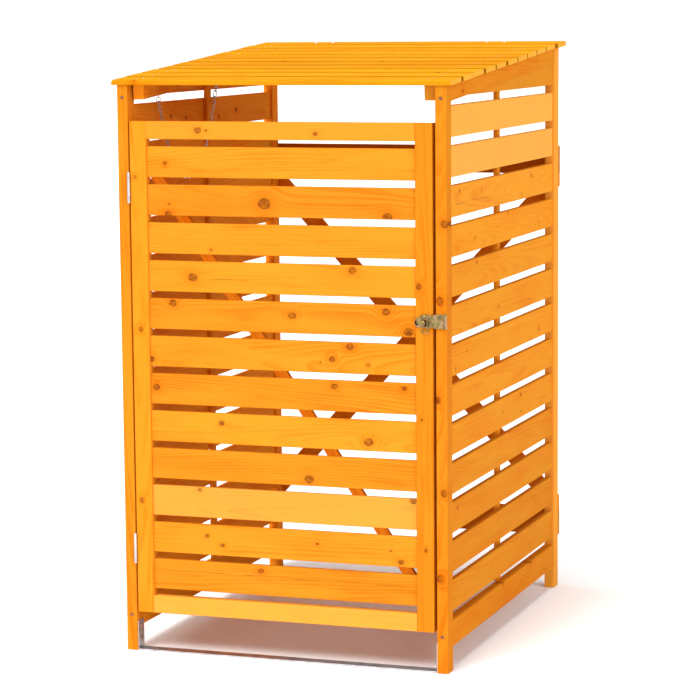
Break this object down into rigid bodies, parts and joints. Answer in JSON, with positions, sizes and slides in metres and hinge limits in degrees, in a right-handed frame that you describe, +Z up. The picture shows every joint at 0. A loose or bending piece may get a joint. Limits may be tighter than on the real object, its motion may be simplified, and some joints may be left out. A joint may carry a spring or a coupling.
{
  "type": "wheelie bin store",
  "caption": "Free-standing slatted timber store for a wheeled bin, with a braced open back, a side-hinged door with hasp and a lift-up sloping boarded lid.",
  "frame": {"origin": "on the floor under the centre of the outer box (lid overhangs, hasp staple and rear rail screws included)", "axes": "+Z up, -Y is the door side (front), +X to the right seen from the front"},
  "size_m": [0.706, 0.8706, 1.2121],
  "materials": {
    "frame_wood": "satin honey stain",
    "slat_wood": "satin honey stain",
    "lid_wood": "satin honey stain",
    "zinc_steel": "zinc plated",
    "plated_steel": "yellow passivated zinc",
    "dark_steel": "black"
  },
  "bodies": {
    "frame": {"front_left_post": "frame_wood", "front_right_post": "frame_wood", "rear_left_post": "frame_wood", "rear_right_post": "frame_wood", "left_side_slats": "slat_wood", "right_side_slats": "slat_wood", "left_mid_batten": "frame_wood", "right_mid_batten": "frame_wood", "left_top_rail": "frame_wood", "right_top_rail": "frame_wood", "left_gable_board": "slat_wood", "right_gable_board": "slat_wood", "left_bottom_rail": "frame_wood", "right_bottom_rail": "frame_wood", "back_head_rail": "frame_wood", "back_upper_rail": "slat_wood", "back_lower_rail": "slat_wood", "back_brace_falling": "frame_wood", "back_brace_rising": "frame_wood", "threshold_strip": "zinc_steel", "frame_screws": "plated_steel", "hasp_post_leaf": "plated_steel", "hasp_pin": "plated_steel", "door_stop": "frame_wood", "door_hinge_post_leaves": "zinc_steel", "door_hinge_pins": "zinc_steel", "lid_hinge_frame_leaves": "zinc_steel", "lid_hinge_pins": "zinc_steel"},
    "door": {"door_left_stile": "frame_wood", "door_right_stile": "frame_wood", "door_top_rail": "frame_wood", "door_bottom_rail": "frame_wood", "door_brace": "frame_wood", "door_slat_1": "slat_wood", "door_slat_2": "slat_wood", "door_slat_3": "slat_wood", "door_slat_4": "slat_wood", "door_slat_5": "slat_wood", "door_slat_6": "slat_wood", "door_slat_7": "slat_wood", "door_slat_8": "slat_wood", "door_slat_9": "slat_wood", "door_slat_10": "slat_wood", "door_slat_11": "slat_wood", "door_slat_12": "slat_wood", "door_hinge_door_leaves": "zinc_steel", "staple_plate": "plated_steel", "hasp_staple": "plated_steel", "staple_bolt": "dark_steel"},
    "lid": {"lid_board_set": "lid_wood", "lid_left_rafter": "frame_wood", "lid_right_rafter": "frame_wood", "lid_hinge_lid_leaves": "zinc_steel", "lid_rear_screws": "zinc_steel", "chain_eyes": "zinc_steel"},
    "hasp_strap": {"hasp_strap": "plated_steel"},
    "hasp_ring": {"hasp_ring": "plated_steel"},
    "chain": {"chain": "zinc_steel"}
  },
  "joints": [
    {"name": "door_hinge", "type": "hinge", "parent": "frame", "child": "door", "pos_m": [-0.3165, -0.4217, 0.5745], "axis": [0, 0, -1], "range_deg": [0, 180]},
    {"name": "lid_hinge", "type": "hinge", "parent": "frame", "child": "lid", "pos_m": [0, 0.4251, 1.19814], "axis": [-1, 0, 0], "range_deg": [0, 118]},
    {"name": "hasp_swing", "type": "hinge", "parent": "frame", "child": "hasp_strap", "pos_m": [0.3385, -0.4217, 0.69], "axis": [0, 0, 1], "range_deg": [0, 180]},
    {"name": "ring_swing", "type": "hinge", "parent": "hasp_strap", "child": "hasp_ring", "pos_m": [0.2975, -0.4234, 0.699], "axis": [-1, 0, 0], "range_deg": [0, 150]},
    {"name": "chain_swing", "type": "hinge", "parent": "lid", "child": "chain", "pos_m": [-0.302, -0.2983, 1.10393], "axis": [0, 0.9974, 0.0724], "range_deg": [-60, 3]}
  ]
}
